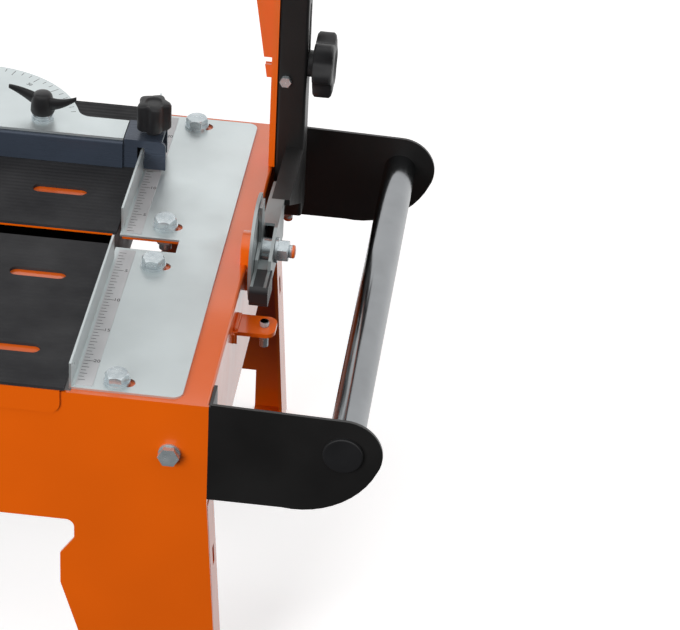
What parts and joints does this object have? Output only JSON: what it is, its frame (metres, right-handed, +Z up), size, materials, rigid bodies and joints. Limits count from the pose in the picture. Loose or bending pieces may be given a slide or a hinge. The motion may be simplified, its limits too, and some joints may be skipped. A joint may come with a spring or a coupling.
{
  "type": "bridge tile saw",
  "caption": "Wet tile cutter: orange steel frame with mats and fences, carrying handles, and a tilting bridge whose rail carries a sliding motor and blade.",
  "frame": {"origin": "on the floor under the middle of the table, on the line of the blade", "axes": "+X along the machine and the cut, +Y away from the operator, +Z up"},
  "size_m": [1.46, 0.513, 0.7205],
  "materials": {
    "orange_paint": "orange gloss powder coat",
    "galvanised": "zinc plated sheet",
    "rubber_mat": "fine ribbed rubber",
    "ruler": "printed ruler strip",
    "zinc_fasteners": "bright zinc plating",
    "black_paint": "black satin powder coat",
    "polished_tube": "polished steel tube",
    "black_plastic": "moulded black plastic",
    "guide_bar_paint": "dark blue grey coated sheet",
    "rail_steel": "ground steel",
    "carriage_paint": "orange gloss powder coat",
    "cast_aluminium": "sand cast aluminium, grey",
    "roller_plastic": "turned nylon",
    "blade_steel": "ground steel",
    "brass": "turned brass",
    "valve_red": "moulded red plastic",
    "start_green": "moulded green plastic"
  },
  "bodies": {
    "base": {"front_panel": "orange_paint", "rear_panel": "orange_paint", "right_end_panel": "orange_paint", "left_end_panel": "orange_paint", "right_table_plate": "galvanised", "left_table_plate": "galvanised", "front_pan": "orange_paint", "rear_pan": "orange_paint", "front_mat": "rubber_mat", "rear_mat": "rubber_mat", "rulers": "ruler", "table_bolts": "zinc_fasteners", "handle_plates": "black_paint", "handle_tubes": "polished_tube", "handle_caps": "black_plastic", "frame_bolts": "zinc_fasteners", "water_tray": "black_plastic", "tray_supports": "galvanised", "water_pump": "black_plastic", "drain_plug": "black_plastic", "frame_brackets": "orange_paint", "tab_screws": "zinc_fasteners", "pivot_fasteners": "zinc_fasteners", "quadrant_plates": "galvanised"},
    "bridge": {"arm_plates": "galvanised", "arm_caps": "black_plastic", "columns": "black_paint", "column_bolts": "zinc_fasteners"},
    "rail": {"rail_plates": "orange_paint", "guide_rail": "rail_steel", "guide_bolts": "zinc_fasteners"},
    "right_lock": {"right_lock_knob": "black_plastic"},
    "left_lock": {"left_lock_knob": "black_plastic"},
    "carriage": {"carriage_frame": "carriage_paint", "roller_axles": "zinc_fasteners", "motor_housing": "cast_aluminium", "fan_cover": "black_paint", "blade_guard": "carriage_paint", "push_handle": "polished_tube", "handle_grip": "rubber_mat", "switch_box": "black_plastic", "cable_gland": "black_plastic", "valve_body": "brass"},
    "roller_ul": {"upper_left_roller": "roller_plastic"},
    "roller_ur": {"upper_right_roller": "roller_plastic"},
    "roller_ll": {"lower_left_roller": "roller_plastic"},
    "roller_lr": {"lower_right_roller": "roller_plastic"},
    "blade": {"saw_blade": "blade_steel", "blade_flanges": "blade_steel", "motor_shaft": "blade_steel", "blade_nut": "zinc_fasteners"},
    "start": {"start_button": "start_green"},
    "stop": {"stop_button": "valve_red"},
    "valve": {"valve_lever": "valve_red"},
    "rip_guide": {"guide_bracket": "galvanised", "guide_bar": "guide_bar_paint"},
    "clamp": {"clamp_knob": "black_plastic"},
    "protractor": {"protractor_plate": "galvanised", "protractor_screw": "zinc_fasteners"},
    "wing": {"wing_knob": "black_plastic"}
  },
  "joints": [
    {"name": "bridge_tilt", "type": "hinge", "parent": "base", "child": "bridge", "pos_m": [0, 0, 0.358], "axis": [1, 0, 0], "range_deg": [0, 45]},
    {"name": "rail_height", "type": "slide", "parent": "bridge", "child": "rail", "axis": [0, 0, 1], "range_m": [0, 0.06]},
    {"name": "right_lock_turn", "type": "hinge", "parent": "rail", "child": "right_lock", "pos_m": [0.6, 0.18, 0.46], "axis": [1, 0, 0], "range_deg": [0, 360]},
    {"name": "left_lock_turn", "type": "hinge", "parent": "rail", "child": "left_lock", "pos_m": [-0.6, 0.18, 0.46], "axis": [-1, 0, 0], "range_deg": [0, 360]},
    {"name": "carriage_travel", "type": "slide", "parent": "rail", "child": "carriage", "axis": [1, 0, 0], "range_m": [0, 0.81]},
    {"name": "upper_left_roll", "type": "hinge", "parent": "carriage", "child": "roller_ul", "pos_m": [-0.475, 0.2, 0.6633], "axis": [0, 1, 0], "continuous": true},
    {"name": "upper_right_roll", "type": "hinge", "parent": "carriage", "child": "roller_ur", "pos_m": [-0.335, 0.2, 0.6633], "axis": [0, 1, 0], "continuous": true},
    {"name": "lower_left_roll", "type": "hinge", "parent": "carriage", "child": "roller_ll", "pos_m": [-0.475, 0.2, 0.5467], "axis": [0, 1, 0], "continuous": true},
    {"name": "lower_right_roll", "type": "hinge", "parent": "carriage", "child": "roller_lr", "pos_m": [-0.335, 0.2, 0.5467], "axis": [0, 1, 0], "continuous": true},
    {"name": "blade_spin", "type": "hinge", "parent": "carriage", "child": "blade", "pos_m": [-0.405, 0, 0.485], "axis": [0, 1, 0], "continuous": true},
    {"name": "start_press", "type": "slide", "parent": "carriage", "child": "start", "axis": [0, 1, 0], "range_m": [0, 0.004], "stiffness_N_per_m": 400},
    {"name": "stop_press", "type": "slide", "parent": "carriage", "child": "stop", "axis": [0, 1, 0], "range_m": [0, 0.004], "stiffness_N_per_m": 400},
    {"name": "valve_turn", "type": "hinge", "parent": "carriage", "child": "valve", "pos_m": [-0.405, -0.006, 0.648], "axis": [0, 0, 1], "range_deg": [0, 90]},
    {"name": "guide_travel", "type": "slide", "parent": "base", "child": "rip_guide", "axis": [0, 1, 0], "range_m": [-0.085, 0.07]},
    {"name": "clamp_turn", "type": "hinge", "parent": "rip_guide", "child": "clamp", "pos_m": [0.459, 0.148, 0.4], "axis": [0, 0, 1], "range_deg": [0, 360]},
    {"name": "protractor_travel", "type": "slide", "parent": "rip_guide", "child": "protractor", "axis": [1, 0, 0], "range_m": [-0.18, 0]},
    {"name": "wing_turn", "type": "hinge", "parent": "protractor", "child": "wing", "pos_m": [0.348, 0.155, 0.4], "axis": [0, 0, 1], "range_deg": [0, 180]}
  ],
  "couplings": [
    {"joint": "upper_left_roll", "follows": "carriage_travel", "rad_per_m": 55.556},
    {"joint": "upper_right_roll", "follows": "carriage_travel", "rad_per_m": 55.556},
    {"joint": "lower_left_roll", "follows": "carriage_travel", "rad_per_m": -55.556},
    {"joint": "lower_right_roll", "follows": "carriage_travel", "rad_per_m": -55.556}
  ]
}
